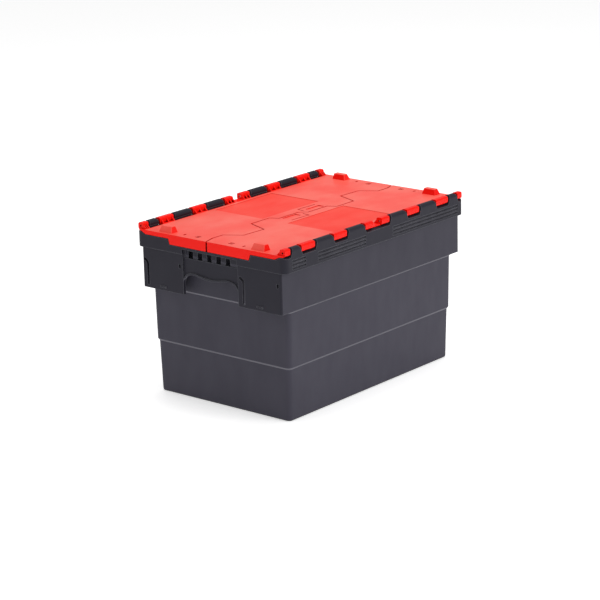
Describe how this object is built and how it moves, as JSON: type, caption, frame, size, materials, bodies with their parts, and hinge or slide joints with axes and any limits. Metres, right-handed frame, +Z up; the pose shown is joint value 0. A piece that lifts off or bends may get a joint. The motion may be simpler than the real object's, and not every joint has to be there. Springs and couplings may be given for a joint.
{
  "type": "attached lid tote",
  "caption": "Stackable, nestable plastic storage tub with two interlocking lid leaves hinged along its long rims, end hand grips and stacking lugs.",
  "frame": {"origin": "centre of the base, on the floor plane", "axes": "+Z up, +X along the length, +Y across the width"},
  "size_m": [0.6, 0.4, 0.368],
  "materials": {
    "tub_plastic": "matt dark grey polypropylene with a fine moulded grain",
    "lid_plastic": "satin red polypropylene with light scuffs",
    "pin_steel": "drawn steel rod"
  },
  "bodies": {
    "tub": {"tub": "tub_plastic", "hinge_pin_front_left": "pin_steel", "hinge_pin_front_right": "pin_steel", "hinge_pin_back_left": "pin_steel", "hinge_pin_back_right": "pin_steel"},
    "front_lid": {"front_lid": "lid_plastic"},
    "back_lid": {"back_lid": "lid_plastic"}
  },
  "joints": [
    {"name": "front_lid_hinge", "type": "hinge", "parent": "tub", "child": "front_lid", "pos_m": [0, -0.1908, 0.3605], "axis": [1, 0, 0], "range_deg": [0, 250]},
    {"name": "back_lid_hinge", "type": "hinge", "parent": "tub", "child": "back_lid", "pos_m": [0, 0.1908, 0.3605], "axis": [-1, 0, 0], "range_deg": [0, 250]}
  ]
}
